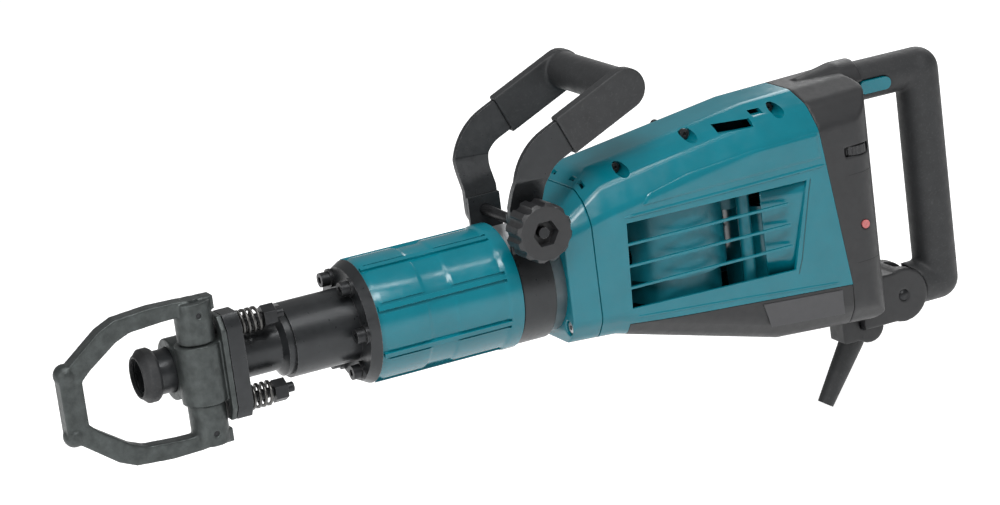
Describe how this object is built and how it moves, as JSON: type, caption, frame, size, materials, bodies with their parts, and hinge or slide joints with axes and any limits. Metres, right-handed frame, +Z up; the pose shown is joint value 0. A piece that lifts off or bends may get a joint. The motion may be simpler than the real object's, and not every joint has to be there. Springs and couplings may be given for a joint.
{
  "type": "electric demolition hammer",
  "caption": "Electric demolition hammer with a looped tool retainer at the nose, a swivelling side handle, a louvred motor housing and a sprung D-shaped rear handle.",
  "frame": {"origin": "centre of the tool socket mouth, on the tool axis", "axes": "+X back along the tool axis towards the rear handle, +Y to the tool's left, +Z up towards the side handle"},
  "size_m": [0.9074, 0.1519, 0.3855],
  "materials": {
    "forged_steel": "dark forged, oiled",
    "dark_steel": "satin dark paint",
    "black_oxide": "black oxide",
    "spring_steel": "drawn wire",
    "bright_steel": "ground",
    "teal_plastic": "smooth gloss",
    "teal_paint": "painted casting",
    "black_plastic": "fine grain",
    "black_rubber": "soft touch",
    "alloy": "cast",
    "copper": "varnished winding",
    "brass": "stamped",
    "carbon": "pressed carbon",
    "board": "potted board",
    "lamp_red": "clear red lens",
    "plate_grey": "fine satin"
  },
  "bodies": {
    "hammer": {"front_barrel": "dark_steel", "flange_screws": "black_oxide", "main_barrel": "alloy", "barrel_cover": "teal_plastic", "dust_collar": "black_rubber", "cylinder_sleeve": "bright_steel", "crank_bearings": "bright_steel", "crankcase": "teal_paint", "intermediate_bearings": "bright_steel", "field_coil": "copper", "motor_bearings": "bright_steel", "carbon_brushes": "carbon", "brush_holders": "brass", "motor_housing": "teal_plastic", "gear_case": "teal_plastic", "case_screws": "bright_steel", "main_housing": "teal_plastic", "housing_screws": "black_oxide", "belly_cover": "black_plastic", "name_plate": "plate_grey", "rear_cover": "black_plastic", "indicator_lamp": "lamp_red", "controller": "board", "cord_guard": "black_rubber", "cord_clamp": "black_plastic", "handle_pin": "black_oxide", "handle_spring": "spring_steel", "cushion_springs": "spring_steel"},
    "retainer_block": {"retainer_block": "forged_steel", "cushion_bolts": "black_oxide", "cushion_nuts": "black_oxide"},
    "retainer_loop": {"retainer_loop": "forged_steel", "retainer_shaft": "forged_steel", "retainer_pins": "black_oxide"},
    "handle_band": {"handle_band": "dark_steel", "clamp_bolt": "black_oxide"},
    "side_handle": {"handle_arm_right": "dark_steel", "handle_arm_left": "dark_steel", "grip_rod": "dark_steel", "grip_rubber": "black_rubber"},
    "clamp_knob": {"clamp_knob": "black_plastic"},
    "impact_bolt": {"impact_bolt": "bright_steel"},
    "striker": {"striker": "bright_steel"},
    "crank": {"crankshaft": "bright_steel", "crank_gear": "bright_steel"},
    "rod": {"connecting_rod": "bright_steel"},
    "piston": {"piston": "alloy", "wrist_pin": "bright_steel"},
    "intermediate": {"intermediate_gears": "bright_steel"},
    "armature": {"armature": "bright_steel", "commutator": "copper", "cooling_fan": "black_plastic"},
    "speed_dial": {"speed_dial": "black_plastic"},
    "rear_handle": {"rear_handle": "black_rubber", "switch_body": "black_plastic"},
    "switch_button": {"switch_button": "teal_plastic"}
  },
  "joints": [
    {"name": "block_slide", "type": "slide", "parent": "hammer", "child": "retainer_block", "axis": [-1, 0, 0], "range_m": [0, 0.008], "stiffness_N_per_m": 9000, "deforming": ["cushion_springs"]},
    {"name": "loop_swing", "type": "hinge", "parent": "retainer_block", "child": "retainer_loop", "pos_m": [0.049, -0.028, 0], "axis": [0, 0, 1], "range_deg": [0, 165]},
    {"name": "band_swing", "type": "hinge", "parent": "hammer", "child": "handle_band", "pos_m": [0.3632, 0, 0], "axis": [1, 0, 0], "continuous": true},
    {"name": "handle_tilt", "type": "hinge", "parent": "handle_band", "child": "side_handle", "pos_m": [0.3632, 0, 0.06], "axis": [0, 1, 0], "range_deg": [-72, 12]},
    {"name": "knob_turn", "type": "hinge", "parent": "handle_band", "child": "clamp_knob", "pos_m": [0.3632, -0.06, 0.06], "axis": [0, -1, 0], "range_deg": [0, 360]},
    {"name": "impact_bolt_slide", "type": "slide", "parent": "hammer", "child": "impact_bolt", "axis": [-1, 0, 0], "range_m": [0, 0.004]},
    {"name": "striker_slide", "type": "slide", "parent": "hammer", "child": "striker", "axis": [-1, 0, 0], "range_m": [0, 0.034]},
    {"name": "armature_spin", "type": "hinge", "parent": "hammer", "child": "armature", "pos_m": [0.6344, 0, 0], "axis": [0, 0, 1], "range_deg": [-212.5, 212.5]},
    {"name": "intermediate_spin", "type": "hinge", "parent": "hammer", "child": "intermediate", "pos_m": [0.5844, 0, 0], "axis": [0, 0, 1], "range_deg": [-38, 38]},
    {"name": "crank_spin", "type": "hinge", "parent": "hammer", "child": "crank", "pos_m": [0.5214, 0, 0], "axis": [0, 0, 1], "range_deg": [-15.2, 15.2]},
    {"name": "rod_swing", "type": "hinge", "parent": "crank", "child": "rod", "pos_m": [0.5214, 0.02, 0], "axis": [0, 0, 1], "range_deg": [-15.2, 15.2]},
    {"name": "piston_slide", "type": "slide", "parent": "hammer", "child": "piston", "axis": [1, 0, 0], "range_m": [-0.0054, 0.0054]},
    {"name": "dial_turn", "type": "hinge", "parent": "hammer", "child": "speed_dial", "pos_m": [0.6974, -0.05, 0.058], "axis": [0, 0, 1], "range_deg": [0, 270]},
    {"name": "handle_sway", "type": "hinge", "parent": "hammer", "child": "rear_handle", "pos_m": [0.7544, 0, -0.104], "axis": [0, 1, 0], "range_deg": [-1.2, 0], "stiffness_Nm_per_rad": 1500, "springref_deg": 1.15, "deforming": ["handle_spring"]},
    {"name": "switch_slide", "type": "slide", "parent": "rear_handle", "child": "switch_button", "axis": [0, 1, 0], "range_m": [0, 0.005]}
  ],
  "couplings": [
    {"joint": "intermediate_spin", "follows": "armature_spin", "ratio": -0.17647},
    {"joint": "crank_spin", "follows": "armature_spin", "ratio": 0.070588},
    {"joint": "rod_swing", "follows": "armature_spin", "ratio": -0.070588},
    {"joint": "piston_slide", "follows": "armature_spin", "m_per_rad": -0.0014118}
  ]
}
